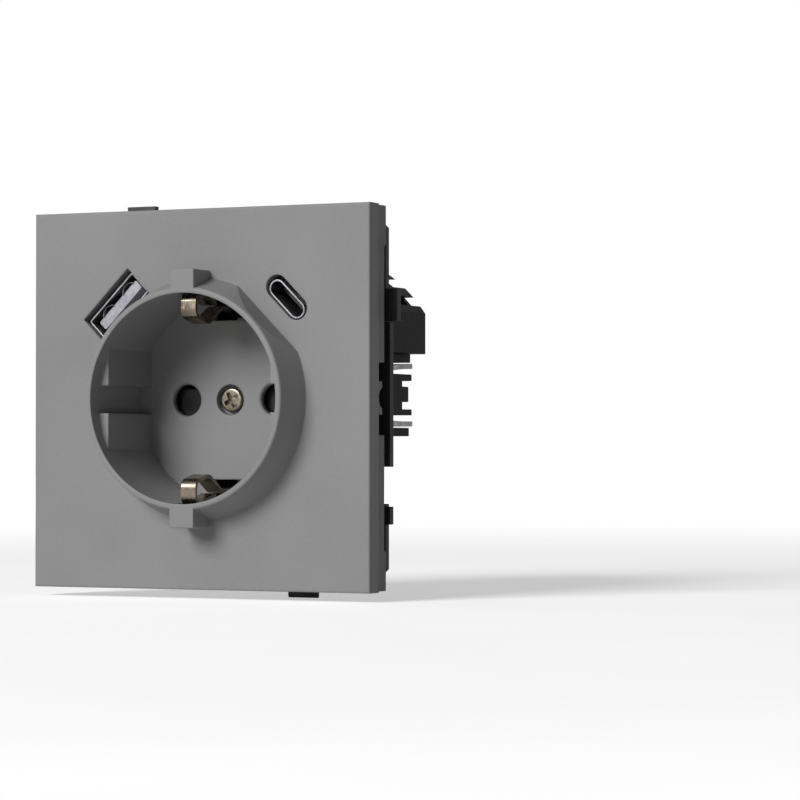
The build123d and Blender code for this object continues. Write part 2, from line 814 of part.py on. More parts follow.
def claw_room():
    """Right-hand pocket for claw, washer and screw, with the fork that the washer bears on."""
    span = claw_half_span + claw_sheet / 2 + slot_clearance
    low = claw_z - span
    high = claw_z + span
    room = block((claw_pocket_inner, wing_reach), (boss_end, guide_front), (low, high))
    for slot_low, slot_high in ((low, guide_low), (guide_high, high + claw_splay)):
        room += block((claw_pocket_inner, wing_reach), (boss_end + claw_sheet, lip_rear),
                      (slot_low, slot_high))
    slope = math.tan(math.radians(claw_swing + 1))
    run = claw_x - claw_pocket_inner
    face = claw_seat + joint_gap / 2
    rear = face + fork_thickness
    fork_plan = Polygon((claw_x, face), (claw_x + fork_reach, face), (claw_x + fork_reach, rear - joint_gap),
                        (claw_x, rear), (claw_pocket_inner, rear + run * slope),
                        (claw_pocket_inner, face + run * slope), align=None)
    fork = extrude(Plane.XY.offset(low) * fork_plan, amount=high - low)
    slot_half = claw_screw_radius + 2 * running_gap
    fork -= block((claw_x, wing_reach), (boss_end, guide_front), (claw_z - slot_half, claw_z + slot_half))
    fork -= disc(slot_half, boss_end, guide_front, claw_x, claw_z)
    return room - fork


def make_lower_block():
    """Step under the main block, with a cut-away heel, sloped sides in front and rounded rear corners."""
    heel_depth, heel_height = lower_block_heel
    side_view = Polygon((base_rear, block_low), (base_rear, lower_block_low),
                        (lower_block_rear - heel_depth, lower_block_low),
                        (lower_block_rear - heel_depth / 2, lower_block_low + heel_height * 3 / 4),
                        (lower_block_rear, lower_block_low + heel_height), (lower_block_rear, block_low),
                        align=None)
    body = extrude(Plane.YZ * side_view, amount=lower_block_half, both=True)
    corners = body.edges().filter_by(Axis.Z).group_by(Axis.Y)[-1]
    body = fillet(corners, lower_block_round)
    bevel = Polygon((base_rear, lower_block_half), (base_rear + lower_block_slope, lower_block_half),
                    (base_rear, lower_block_half - lower_block_slope), align=None)
    cut = extrude(Plane(origin=(0, 0, lower_block_low), x_dir=(0, 1, 0), z_dir=(0, 0, -1)) * bevel,
                  amount=block_low - lower_block_low, dir=(0, 0, 1))
    return body - cut - mirrored(cut)


def base_outline_solids():
    """Stepped outer form of the socket housing, before its chambers are cut."""
    front = flange_thickness
    lower = Circle(flange_radius) & band(-flange_radius, block_high_front, flange_radius)
    body = slab(lower + Circle(base_ring_radius), front, base_step)
    flat = Circle(base_ring_radius) & band(base_flat, base_ring_radius, base_ring_radius)
    body += slab(flat, base_step, base_rear)
    body += block((-block_half, block_half), (front, block_split), (block_low, block_high_front))
    body += block((-block_half, block_half), (block_split, block_rear), (block_low, block_high_rear))
    body += make_lower_block()
    lip_half = block_half - lip_inset
    body += block((-lip_half, lip_half), (block_rear, lip_rear), (lip_low, block_high_rear))
    body += block((-guide_half, guide_half), (guide_front, block_rear), (guide_low, guide_high))
    body -= slab(Circle(flange_radius) - Circle(flange_radius - base_seam[1]), front, front + base_seam[0])
    for side in (1, -1):
        body += disc(boss_radius, flange_thickness + bracket_thickness, boss_end, side * claw_x, claw_z)
    return body


def socket_chambers():
    """Spaces inside the socket housing for cover, shutter, strap, contacts and clamps."""
    rooms = [disc(base_bore_radius, flange_thickness, inner_floor_front + joint_gap / 2)]
    seat = Circle(base_bore_radius) & band(lower_flat - joint_gap / 2, base_bore_radius, base_bore_radius)
    rooms.append(slab(seat, inner_floor_front, inner_floor_rear + joint_gap / 2))
    rooms.append(disc(carrier_radius + joint_gap, inner_floor_rear, carrier_rear))
    strap_half = strap_width / 2 + fit
    strap_end = strap_leg + 2 * strap_thickness
    rooms.append(block((-strap_half, strap_half), (carrier_rear, strap_rear + fit), (-strap_end, strap_end)))
    rooms.append(disc(strap_pad_radius + fit, carrier_rear, strap_rear + fit))
    nut_half = nut_size / 2 + fit
    rooms.append(block((-nut_half, nut_half), (carrier_rear, strap_rear + nut_thickness + fit),
                       (-nut_half, nut_half)))
    rooms.append(disc(screw_shank_radius + 2 * fit, strap_rear, screw_seat + screw_length + 1))
    earth_half = earth_tail_width / 2 + fit
    rooms.append(block((-earth_half, earth_half), (carrier_rear, chamber_rear),
                       (tail_top - tail_thickness - fit, tail_top + fit)))
    rooms.append(block((-earth_chamber_half, earth_chamber_half), (chamber_front, chamber_rear),
                       (chamber_low, chamber_high)))
    for hole_x in (-wire_hole_pitch / 2, wire_hole_pitch / 2):
        rooms.append(disc(wire_hole_radius, chamber_rear, block_rear, hole_x, wire_hole_z))
    return rooms


def side_chambers():
    """Right-hand spaces for one pin contact, its clamp, wire holes, release button and claw."""
    rooms = [disc(contact_chamber_radius, carrier_rear, chamber_front, pin_x)]
    tail_half = tail_width / 2 + fit
    rooms.append(block((tail_x - tail_half, tail_x + tail_half), (carrier_rear + sleeve_start, chamber_rear),
                       (tail_top - tail_thickness - fit, tail_top + fit)))
    rooms.append(block(line_chamber, (chamber_front, chamber_rear), (chamber_low, chamber_high)))
    for hole_x in (tail_x - wire_hole_pitch / 2, tail_x + wire_hole_pitch / 2):
        rooms.append(disc(wire_hole_radius, chamber_rear, block_rear, hole_x, wire_hole_z))
    front, low, high = button_recess
    rooms.append(block((button_recess_inner, wing_reach), (front, lip_rear), (low, high)))
    nose_front, nose_rear = button_nose
    rooms.append(block((line_chamber[1], button_recess_inner),
                       (nose_front - button_travel - fit, nose_rear + fit),
                       (button_low + button_nose_margin - fit, button_high - button_nose_margin + fit)))
    spring_z = (button_low + button_high) / 2
    rooms.append(disc(button_spring_radius + 2 * fit, button_spring_front, front, button_spring_x, spring_z))
    rooms.append(disc(tool_bore_radius, flange_thickness, claw_seat, claw_x, claw_z))
    rooms.append(block((claw_x + joint_gap, wing_reach + 2), (boss_open, claw_seat),
                       (claw_z - boss_radius, claw_z + boss_radius)))
    rooms.append(claw_room())
    return rooms


def make_contact_base():
    """Rear moulding of the socket housing, with its chambers cut one at a time."""
    rooms = side_chambers()
    body = base_outline_solids()
    for room in rooms + [mirrored(room) for room in rooms] + socket_chambers():
        body -= room
    body -= port_passages(port_clearance, flange_thickness, port_rear + joint_gap)
    bracket = slab(Pos(claw_x, claw_z) * Rot(0, 0, 30) * RegularPolygon(bracket_span / 2 + joint_gap, 6),
                   flange_thickness, flange_thickness + bracket_thickness)
    bracket -= disc(base_bore_radius + joint_gap, flange_thickness, base_step)
    return body - bracket - mirrored(bracket)


def make_release_button():
    """Right-hand release button of the wire clamps, pressed from the rear."""
    body = block((button_inner, block_half), (button_front, button_rear), (button_low, button_high))
    body = fillet(body.edges().filter_by(Axis.X), 0.3)
    return body + block((line_chamber[1] - button_nose_reach, button_inner), button_nose,
                        (button_low + button_nose_margin, button_high - button_nose_margin))


def make_button_spring():
    """Right-hand return spring of the release button."""
    spring_z = (button_low + button_high) / 2
    plane = Plane(origin=(button_spring_x, 0, spring_z), x_dir=(1, 0, 0), z_dir=(0, 1, 0))
    return coil(button_spring_radius - button_spring_wire / 2, button_spring_wire / 2, button_spring_turns,
                button_spring_front, button_front, plane)


def module_outline(low, inset=0.0):
    """Charger housing seen from the front: a round top with flat sides and a flat underside."""
    return Circle(module_radius - inset) & band(low + inset, module_radius, module_half - inset)


def make_usb_front_shell():
    """Front half of the charger housing, which straddles the socket housing."""
    body = slab(module_outline(block_high_front), module_front, module_split)
    neck = Circle(module_neck_radius) & band(module_neck_low, module_neck_radius, module_half)
    body += slab(neck, 0, module_front)
    body -= disc(flange_radius + fit, 0, flange_thickness)
    body -= slab(wings(flange_radius), 0, flange_thickness)
    body -= disc(module_clear_radius, module_front, base_rear + joint_gap)
    crescent = module_outline(block_high_front, module_wall) - Circle(module_clear_radius + module_wall)
    body -= slab(crescent, module_front + module_wall, module_split)
    rear_room = module_outline(block_high_rear, module_wall)
    body -= slab(rear_room, base_rear + joint_gap + module_wall, module_split)
    body -= port_passages(port_clearance, 0, port_rear + joint_gap)
    body -= block((-module_half, module_half), (base_rear, module_split), (0, block_high_front))
    edge = slab(module_outline(0) - module_outline(0, seam_depth), module_split - seam_depth, module_split)
    return body - edge


def make_vents():
    """Slots through the side walls of the rear cap, open at its rear."""
    length = 2 * (module_rear - vent_front)
    wall = slab(Circle(module_radius + 1) - Circle(module_radius - module_wall), vent_front, module_rear)
    vents = None
    for centre in vent_centres:
        slot = Plane.YZ * Pos(vent_front + length / 2, centre) * SlotOverall(length, vent_height)
        bar = extrude(slot, amount=module_radius, both=True) & wall
        vents = bar if vents is None else vents + bar
    return vents


def make_usb_rear_cap():
    """Rear half of the charger housing with its vents and the ribs that carry the board."""
    body = slab(module_outline(block_high_rear), module_split, module_rear)
    body = fillet(body.edges().group_by(Axis.Y)[-1], module_corner)
    body -= slab(module_outline(block_high_rear, module_wall), module_split, module_rear - module_wall)
    for side in (1, -1):
        inner = board_half - rib_width
        body += block(sorted((side * inner, side * board_half)), (board_front, board_rear),
                      (block_high_rear, board_low))
    return body - make_vents()


def make_power_board():
    """Circuit board of the charger, on two ribs of the rear cap."""
    return block((-board_half, board_half), (board_front, board_rear),
                 (board_low, board_low + board_thickness))


def make_transformer():
    """Transformer: a core frame with the winding on its bobbin between the legs."""
    width, length, height = core_size
    low = board_low + board_thickness
    middle = low + height / 2
    depth = (core_y - length / 2, core_y + length / 2)
    core = block((-width / 2, width / 2), depth, (low, low + height))
    inner = width / 2 - winding_wall
    core -= block((-inner, inner), depth, (low + winding_wall, low + height - winding_wall))
    winding = Pos(0, core_y, middle) * Rot(0, 90, 0) * Cylinder(height / 2 - winding_wall, 2 * inner)
    bobbin = Pos(0, core_y, middle) * Box(2 * inner, winding_wall, height - 2 * winding_wall)
    return core + winding + bobbin


def make_capacitors():
    """Four electrolytic capacitors standing on the board."""
    low = board_low + board_thickness
    cans = []
    for side in (1, -1):
        for place in capacitor_places:
            can = Pos(side * capacitor_x, place, low + capacitor_height / 2) * Cylinder(
                capacitor_radius, capacitor_height)
            cans.append(fillet(can.edges().sort_by(Axis.Z)[-1], 0.5))
    return Compound(children=cans)


def make_rivets():
    """Four rivets that hold the support frame to the socket housing."""
    rivets = []
    for side in (1, -1):
        for height in (rivet_z, -rivet_z):
            head = disc(rivet_head_radius, -sheet - rivet_head_height, -sheet, side * rivet_x, height)
            head = fillet(head.edges().sort_by(Axis.Y)[0], 0.4)
            shank = disc(rivet_radius, -sheet, flange_thickness, side * rivet_x, height)
            rivets.append(head + shank)
    return Compound(children=rivets)


def make_pairs():
    """Right-hand pieces and their left-hand twins."""
    right = {
        "contact": make_contact(),
        "terminal_spring": make_clamp(tail_x, clamp_width),
        "claw": make_claw(),
        "claw_screw": make_claw_screw(),
        "claw_washer": make_claw_washer(),
        "claw_bracket": make_claw_bracket(),
        "release_button": make_release_button(),
        "button_spring": make_button_spring(),
    }
    pieces = {}
    for name, piece in right.items():
        pieces[name + "_right"] = piece
        pieces[name + "_left"] = mirrored(piece)
    return pieces


def make_all():
    """Every piece by the name of its node."""
    pieces = {
        "cover_plate": make_cover_plate(),
        "backing_frame": make_backing_frame(),
        "support_frame": make_support_frame(),
        "frame_rivets": make_rivets(),
        "port_holder": make_port_holder(),
        "usb_a_shell": make_port_shell(usb_a_outline(), usb_a_outline(-port_shell_wall), usb_a_front),
        "usb_a_tongue": make_usb_a_tongue(),
        "usb_c_shell": make_port_shell(usb_c_outline(), usb_c_outline(-port_shell_wall), usb_c_front),
        "usb_c_tongue": make_usb_c_tongue(),
        "port_board": make_port_board(),
        "usb_front_shell": make_usb_front_shell(),
        "usb_rear_cap": make_usb_rear_cap(),
        "power_board": make_power_board(),
        "transformer": make_transformer(),
        "capacitors": make_capacitors(),
        "contact_cover": make_contact_cover(),
        "contact_base": make_contact_base(),
        "shutter_carrier": make_shutter_carrier(),
        "shutter": make_shutter(),
        "shutter_spring": make_shutter_spring(),
        "earth_strap": make_earth_strap(),
        "screw_nut": make_screw_nut(),
        "cover_screw": make_cover_screw(),
        "terminal_spring_earth": make_clamp(0, earth_tail_width),
    }
    pieces.update(make_pairs())
    return pieces


os.makedirs("parts", exist_ok=True)
for node, piece in make_all().items():
    export_step(piece, f"parts/{node}.step")
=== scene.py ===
import math

import bmesh
import bpy
from mathutils import Matrix, Vector


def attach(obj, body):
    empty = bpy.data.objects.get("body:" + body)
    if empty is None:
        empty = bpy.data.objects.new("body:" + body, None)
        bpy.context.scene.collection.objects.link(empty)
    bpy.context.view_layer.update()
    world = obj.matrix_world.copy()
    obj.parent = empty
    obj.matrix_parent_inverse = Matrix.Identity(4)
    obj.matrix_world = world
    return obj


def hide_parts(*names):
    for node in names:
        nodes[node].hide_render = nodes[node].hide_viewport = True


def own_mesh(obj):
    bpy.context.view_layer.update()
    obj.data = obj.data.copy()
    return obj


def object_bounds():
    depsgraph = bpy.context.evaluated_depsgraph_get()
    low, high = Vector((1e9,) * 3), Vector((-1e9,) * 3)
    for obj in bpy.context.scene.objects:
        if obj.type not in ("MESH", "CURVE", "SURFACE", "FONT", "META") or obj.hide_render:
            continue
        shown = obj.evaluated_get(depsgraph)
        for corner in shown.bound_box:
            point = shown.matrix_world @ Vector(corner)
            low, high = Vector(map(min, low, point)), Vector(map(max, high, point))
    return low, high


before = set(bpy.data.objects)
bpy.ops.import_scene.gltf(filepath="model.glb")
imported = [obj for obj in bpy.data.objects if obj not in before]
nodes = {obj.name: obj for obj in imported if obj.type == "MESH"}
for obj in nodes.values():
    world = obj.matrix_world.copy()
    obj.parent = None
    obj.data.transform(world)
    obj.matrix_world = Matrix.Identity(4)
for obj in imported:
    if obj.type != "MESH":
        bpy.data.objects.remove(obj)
solid_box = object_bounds()

# Support frame and its rivets: 1.4 mm sheet steel with a dark phosphate skin, stamped in one
# stroke with the tabs that lock it to the next frame. Four rivets fix it to the socket housing.

mix_first, mix_second, mix_result = 6, 7, 2  # the Mix node's sockets for colours


def tone(code):
    """Scene-linear colour of a paint chip given as six hex digits, by the sRGB curve."""
    chip = []
    for place in (0, 2, 4):
        value = int(code[place:place + 2], 16) / 255
        chip.append(value / 12.92 if value <= 0.04045 else ((value + 0.055) / 1.055) ** 2.4)
    return (*chip, 1.0)


class Finish:
    """A material being mixed: the shader and the nodes that feed it."""

    def __init__(self, name, metallic=0.0, **sockets):
        self.material = bpy.data.materials.new(name)
        self.material.use_nodes = True
        self.tree = self.material.node_tree
        self.shader = self.tree.nodes["Principled BSDF"]
        self.shader.inputs["Metallic"].default_value = metallic
        for socket, value in sockets.items():
            self.shader.inputs[socket.replace("_", " ")].default_value = value
        self.place = self.tree.nodes.new("ShaderNodeTexCoord").outputs["Object"]

    def node(self, kind, **settings):
        """New node with some of its settings."""
        made = self.tree.nodes.new(kind)
        for setting, value in settings.items():
            setattr(made, setting, value)
        return made

    def link(self, output, target):
        """Wire an output to an input."""
        self.tree.links.new(output, target)

    def noise(self, size_mm, stretch=(1, 1, 1), detail=2.0):
        """Noise whose blotches are about size_mm across, drawn out along an axis by stretch."""
        mapping = self.node("ShaderNodeMapping")
        mapping.inputs["Scale"].default_value = [1 / share for share in stretch]
        self.link(self.place, mapping.inputs["Vector"])
        grain = self.node("ShaderNodeTexNoise")
        grain.inputs["Scale"].default_value = 1000 / size_mm
        grain.inputs["Detail"].default_value = detail
        self.link(mapping.outputs["Vector"], grain.inputs["Vector"])
        return grain.outputs["Fac"]

    def between(self, factor, low, high, start=0.35, end=0.65):
        """Factor between start and end, spread over the numbers from low to high."""
        spread = self.node("ShaderNodeMapRange")
        spread.inputs["From Min"].default_value = start
        spread.inputs["From Max"].default_value = end
        spread.inputs["To Min"].default_value = low
        spread.inputs["To Max"].default_value = high
        self.link(factor, spread.inputs["Value"])
        return spread.outputs["Result"]

    def blend(self, factor, first, second):
        """Two colours, or outputs of colours, mixed by a factor."""
        mix = self.node("ShaderNodeMix", data_type="RGBA")
        self.link(factor, mix.inputs["Factor"])
        for socket, colour in ((mix.inputs[mix_first], first), (mix.inputs[mix_second], second)):
            if isinstance(colour, tuple):
                socket.default_value = colour
            else:
                self.link(colour, socket)
        return mix.outputs[mix_result]

    def soft_edges(self, radius_mm):
        """Light rolls over the edges as if they had this radius."""
        edge = self.node("ShaderNodeBevel", samples=6)
        edge.inputs["Radius"].default_value = radius_mm / 1000
        self.link(edge.outputs["Normal"], self.shader.inputs["Normal"])
        return self

    def colour(self, output):
        """Feed the base colour."""
        self.link(output, self.shader.inputs["Base Color"])

    def roughness(self, output):
        """Feed the roughness."""
        self.link(output, self.shader.inputs["Roughness"])

    def relief(self, height, depth_mm):
        """Bump of a given depth, on top of any relief set before."""
        bump = self.node("ShaderNodeBump")
        bump.inputs["Distance"].default_value = depth_mm / 1000
        self.link(height, bump.inputs["Height"])
        earlier = self.shader.inputs["Normal"].links
        if earlier:
            self.link(earlier[0].from_socket, bump.inputs["Normal"])
        self.link(bump.outputs["Normal"], self.shader.inputs["Normal"])
        return self


def dress(finish, *names):
    """Give CAD nodes a finish."""
    for name in names:
        slots = nodes[name].data.materials
        slots.clear()
        slots.append(finish.material)


def phosphated_steel():
    """Dark phosphate crystals over rolled sheet."""
    steel = Finish("phosphated_steel", metallic=0.85).soft_edges(radius_mm=0.15)
    crystals = steel.noise(size_mm=0.25, detail=4)
    clouds = steel.noise(size_mm=9.0)
    steel.colour(steel.blend(steel.between(clouds, low=0, high=1), tone("3a3b3d"), tone("4c4d50")))
    steel.roughness(steel.between(crystals, low=0.38, high=0.55))
    return steel.relief(crystals, depth_mm=0.012)


dark_sheet = phosphated_steel()
dress(dark_sheet, "support_frame", "frame_rivets")

# Socket housing: flange moulding in front and stepped base behind, both of black glass-filled
# polyamide. Their tools are spark-eroded, which leaves a fine matte grain on the skin.


def eroded_black(name, light, dark, grain_mm):
    """Black moulding with a spark-eroded skin."""
    moulding = Finish(name, Specular_IOR_Level=0.2).soft_edges(radius_mm=0.25)
    pores = moulding.noise(grain_mm, detail=3)
    flow = moulding.noise(size_mm=14.0, stretch=(1, 2.5, 1))
    moulding.colour(moulding.blend(moulding.between(flow, low=0, high=1), tone(dark), tone(light)))
    moulding.roughness(moulding.between(pores, low=0.42, high=0.58))
    return moulding.relief(pores, depth_mm=0.014)


housing_black = eroded_black("housing_black", light="131314", dark="0e0e0f", grain_mm=0.22)
dress(housing_black, "contact_cover", "contact_base")

# Pin contacts and wire clamps: rolled brass sleeves with their tails, and bent cage springs of
# bright stainless strip that press the wires against them. Both sit in the chambers of the base.

streak_spread = 0.16


def rolled_strip(name, pale, deep, shine, along=(1, 8, 1)):
    """Rolled metal strip: streaks run along the strip."""
    strip = Finish(name, metallic=1.0).soft_edges(radius_mm=0.12)
    streaks = strip.noise(size_mm=0.6, stretch=along, detail=3)
    clouds = strip.noise(size_mm=5.0)
    strip.colour(strip.blend(strip.between(clouds, low=0, high=1), tone(deep), tone(pale)))
    strip.roughness(strip.between(streaks, low=shine, high=shine + streak_spread))
    return strip.relief(streaks, depth_mm=0.0012)


contact_brass = rolled_strip("contact_brass", pale="d8b877", deep="c09a58", shine=0.24)
clamp_spring = rolled_strip("clamp_spring", pale="cfd0d2", deep="b2b3b6", shine=0.2)
dress(contact_brass, "contact_right", "contact_left")
dress(clamp_spring, "terminal_spring_right", "terminal_spring_left", "terminal_spring_earth")

# Earth strap: one nickel-plated brass strip bent into a clip at each end, with its square nut of
# zinc-plated steel behind it. The plating is warm and bright, with draw marks round the bends.

strap_nickel = rolled_strip("strap_nickel", pale="9c9080", deep="756b5c", shine=0.2, along=(1, 3, 3))
zinc_plate = rolled_strip("zinc_plate", pale="cfd3cd", deep="aab0aa", shine=0.26, along=(1, 5, 1))
dress(strap_nickel, "earth_strap")
dress(zinc_plate, "screw_nut")

# Shutter with its carrier and return spring: smooth black polyoxymethylene, so it slides without
# grease, and a coil of bright spring wire. It lies behind the pin holes and only its face shows.


def sliding_black():
    """Slick black moulding with faint sliding marks."""
    slick = Finish("shutter_black", Specular_IOR_Level=0.5)
    rub = slick.noise(size_mm=1.2, stretch=(3, 1, 3))
    slick.colour(slick.blend(slick.between(rub, low=0, high=1), tone("121214"), tone("1a1a1d")))
    slick.roughness(slick.between(rub, low=0.3, high=0.4))
    return slick.relief(rub, depth_mm=0.003)


def piece(name, shape, finish, body="socket", smooth_below=38):
    """Object from a bmesh, smooth except at edges sharper than smooth_below degrees."""
    mesh = bpy.data.meshes.new(name)
    for face in shape.faces:
        face.smooth = True
    for edge in shape.edges:
        edge.smooth = edge.calc_face_angle(0) < math.radians(smooth_below)
    shape.to_mesh(mesh)
    shape.free()
    mesh.materials.append(finish.material)
    made = bpy.data.objects.new(name, mesh)
    bpy.context.scene.collection.objects.link(made)
    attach(made, body)
    return made


def shape_of(name):
    """The mesh of a CAD node, to be worked on."""
    shape = bmesh.new()
    shape.from_mesh(nodes[name].data)
    shape.transform(nodes[name].matrix_world)
    return shape


def pressed_spring(name):
    """Copy of a spring's own coil, with a mesh of its own, shown in place of the CAD node."""
    coil = piece(f"{name}_coil", shape_of(name), clamp_spring)
    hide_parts(name)
    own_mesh(coil)


shutter_black = sliding_black()
dress(shutter_black, "shutter", "shutter_carrier")
pressed_spring("shutter_spring")

# Spreading claws: zinc-plated steel strip bent to a U, with an extruded thread collar in its web.
# Each hangs on its nickel-plated screw behind a washer, and a pale bracket guides it at the flange.

sides = (("right", 1), ("left", -1))
claw_x, claw_z = 0.023, 0.0008
head_back = 0.0088
shank_radius = 0.0017
tip_chamfer = 0.0004
thread_pitch = 0.0006
thread_depth = 0.00034
thread_facets = 36
rings_per_turn = 6
plane_slack = 0.00003


def skin(shape, rings, caps):
    """Faces between successive rings of points and over the end rings, all turned outwards."""
    for ring, following in zip(rings, rings[1:]):
        for place in range(len(ring)):
            after = (place + 1) % len(ring)
            shape.faces.new((ring[place], following[place], following[after], ring[after]))
    for ring in caps:
        shape.faces.new(ring)
    bmesh.ops.recalc_face_normals(shape, faces=shape.faces)


def threaded_screw(side, facing):
    """The claw screw's own head with a rolled thread in place of its plain shank."""
    shape = shape_of(f"claw_screw_{side}")
    shank = [vert for vert in shape.verts if vert.co.y > head_back + plane_slack]
    tip = max(vert.co.y for vert in shank)
    bmesh.ops.delete(shape, geom=shank, context="VERTS")
    count = round((tip - head_back) / thread_pitch * rings_per_turn)
    rings = []
    for step in range(count + 1):
        depth = head_back + (tip - head_back) * step / count
        ring = []
        for facet in range(thread_facets):
            turn = facet / thread_facets
            phase = (depth / thread_pitch + facing * turn) % 1
            radius = shank_radius - thread_depth * abs(2 * phase - 1)
            radius = min(radius, shank_radius - tip_chamfer + tip - depth)
            angle = 2 * math.pi * turn
            ring.append(shape.verts.new((facing * claw_x + radius * math.cos(angle), depth,
                                         claw_z + radius * math.sin(angle))))
        rings.append(ring)
    skin(shape, rings, caps=[rings[-1]])
    screw = piece(f"threaded_screw_{side}", shape, screw_nickel, body=f"claw_screw_{side}")
    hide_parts(f"claw_screw_{side}")


def bracket_moulding():
    """Pale grey moulding with a light satin skin."""
    pale = Finish("bracket_grey", Specular_IOR_Level=0.35).soft_edges(radius_mm=0.3)
    pores = pale.noise(size_mm=0.3, detail=3)
    flow = pale.noise(size_mm=6.0)
    pale.colour(pale.blend(pale.between(flow, low=0, high=1), tone("a2a2a0"), tone("b2b2b0")))
    pale.roughness(pale.between(pores, low=0.36, high=0.48))
    return pale.relief(pores, depth_mm=0.01)


screw_nickel = rolled_strip("screw_nickel", pale="c3b8a4", deep="9b907d", shine=0.2, along=(3, 1, 3))
bracket_grey = bracket_moulding()
for side, facing in sides:
    dress(zinc_plate, f"claw_{side}", f"claw_washer_{side}")
    threaded_screw(side, facing)
    dress(bracket_grey, f"claw_bracket_{side}")

# Release buttons: black bars at the rear of each side, on bright coil springs. They slide in the
# base and lift the wire clamps when pressed from behind.

button_black = eroded_black("button_black", light="101011", dark="0c0c0d", grain_mm=0.18)
for side, facing in sides:
    dress(button_black, f"release_button_{side}")
    pressed_spring(f"button_spring_{side}")

# Charger housing: front shell and rear cap of matte black polycarbonate, snapped together at
# the groove round the middle. The rear cap has two cooling slots at each side.

charger_black = eroded_black("charger_black", light="161617", dark="111112", grain_mm=0.26)
dress(charger_black, "usb_front_shell", "usb_rear_cap")

# Charger circuit: a green board with a transformer and four capacitors soldered on, and a small
# board that carries the ports. All of it is closed in, and a little shows in the cooling slots.

track_scale = 420
track_gap = 0.06


def lacquered_board():
    """Solder mask over copper tracks."""
    board = Finish("board_green", Specular_IOR_Level=0.5)
    tracks = board.node("ShaderNodeTexBrick")
    tracks.inputs["Scale"].default_value = track_scale
    tracks.inputs["Mortar Size"].default_value = track_gap
    tracks.inputs["Color1"].default_value = tone("1c5a38")
    tracks.inputs["Color2"].default_value = tone("226641")
    tracks.inputs["Mortar"].default_value = tone("123f27")
    board.link(board.place, tracks.inputs["Vector"])
    board.colour(tracks.outputs["Color"])
    board.roughness(board.between(board.noise(size_mm=1.5), low=0.22, high=0.34))
    return board.relief(tracks.outputs["Fac"], depth_mm=0.03)


def ferrite():
    """Sintered core with a dull grain."""
    core = Finish("transformer_core")
    grain = core.noise(size_mm=0.4, detail=4)
    clouds = core.between(core.noise(size_mm=4.0), low=0, high=1)
    core.colour(core.blend(clouds, tone("2c2926"), tone("3b3733")))
    core.roughness(core.between(grain, low=0.55, high=0.75))
    return core.relief(grain, depth_mm=0.02)


board_green = lacquered_board()
transformer_core = ferrite()
can_aluminium = rolled_strip("can_aluminium", pale="c9cbce", deep="b1b3b7", shine=0.3, along=(1, 1, 6))
dress(board_green, "power_board", "port_board")
dress(transformer_core, "transformer")
dress(can_aluminium, "capacitors")

# Charging ports: folded nickel-plated shells, a black tongue in the small one and a pale grey
# tongue in the large one, both held by a white moulding behind the plate.

port_middle = Vector((-0.0176, 0, 0.0176))
port_length = Vector((1, 0, 1)).normalized()
port_outward = Vector((-1, 0, 1)).normalized()
tongue_shift = 0.0016
tongue_reach = 0.006
spring_places = (-0.0025, 0.0034)
spring_half = 0.0016
spring_bow = 0.00075
spring_wall = 0.0022
spring_sheet = 0.00009
spring_front, spring_back = -0.0083, -0.0062
spring_steps = 14


def tongue_moulding(name, light, dark):
    """Glossy little moulding that carries the port's contacts."""
    tongue = Finish(name, Specular_IOR_Level=0.5)
    flow = tongue.noise(size_mm=1.5)
    tongue.colour(tongue.blend(tongue.between(flow, low=0, high=1), tone(dark), tone(light)))
    tongue.roughness(tongue.between(tongue.noise(size_mm=0.2), low=0.3, high=0.42))
    return tongue.relief(flow, depth_mm=0.005)


def off_middle(vert):
    """Distance of a point from the wide port's middle, along its opening."""
    return abs((vert.co - port_middle).dot(port_length))


def raised_tongue():
    """The wide port's tongue, nearer the outer wall than its solid and on the same base."""
    shape = shape_of("usb_a_tongue")
    root = min(vert.co.y for vert in shape.verts if off_middle(vert) > tongue_reach)
    for vert in shape.verts:
        if vert.co.y < root + plane_slack and off_middle(vert) < tongue_reach:
            vert.co += port_outward * tongue_shift
    tongue = piece("raised_tongue", shape, tongue_pale)
    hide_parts("usb_a_tongue")


def shell_spring(name, place):
    """Bowed leaf punched from the outer wall of the wide port's shell."""
    shape = bmesh.new()
    rings = []
    for step in range(spring_steps + 1):
        share = 2 * step / spring_steps - 1
        bow = spring_bow * share * share
        along = port_middle + port_length * (place + share * spring_half)
        rings.append([shape.verts.new(along + port_outward * (spring_wall - bow - sheet)
                                      + Vector((0, depth, 0)))
                      for sheet, depth in ((0, spring_front), (0, spring_back),
                                           (spring_sheet, spring_back), (spring_sheet, spring_front))])
    skin(shape, rings, caps=[rings[0], rings[-1]])
    piece(name, shape, clamp_spring)


port_shell = rolled_strip("port_shell", pale="a9aaae", deep="8f9095", shine=0.3, along=(1, 6, 1))
tongue_pale = tongue_moulding("tongue_pale", light="c4c3cc", dark="aaa9b4")
tongue_black = tongue_moulding("tongue_black", light="19191b", dark="0f0f11")
holder_white = tongue_moulding("holder_white", light="eeeeec", dark="e2e2e0")
dress(port_shell, "usb_a_shell", "usb_c_shell")
raised_tongue()
for count, place in enumerate(spring_places):
    shell_spring(f"usb_a_spring_{count}", place)
dress(tongue_black, "usb_c_tongue")
dress(holder_white, "port_holder")

# Backing frame: lighter grey moulding behind the plate, unpainted, with corner pads and a notched
# lug in the window at each side. It keeps the plate off the support frame.


def frame_moulding():
    """Mid-grey moulding with a fine eroded skin."""
    grey = Finish("frame_grey", Specular_IOR_Level=0.25).soft_edges(radius_mm=0.25)
    pores = grey.noise(size_mm=0.2, detail=3)
    flow = grey.noise(size_mm=12.0)
    grey.colour(grey.blend(grey.between(flow, low=0, high=1), tone("818283"), tone("8b8c8d")))
    grey.roughness(grey.between(pores, low=0.45, high=0.6))
    return grey.relief(pores, depth_mm=0.01)


frame_grey = frame_moulding()
dress(frame_grey, "backing_frame")
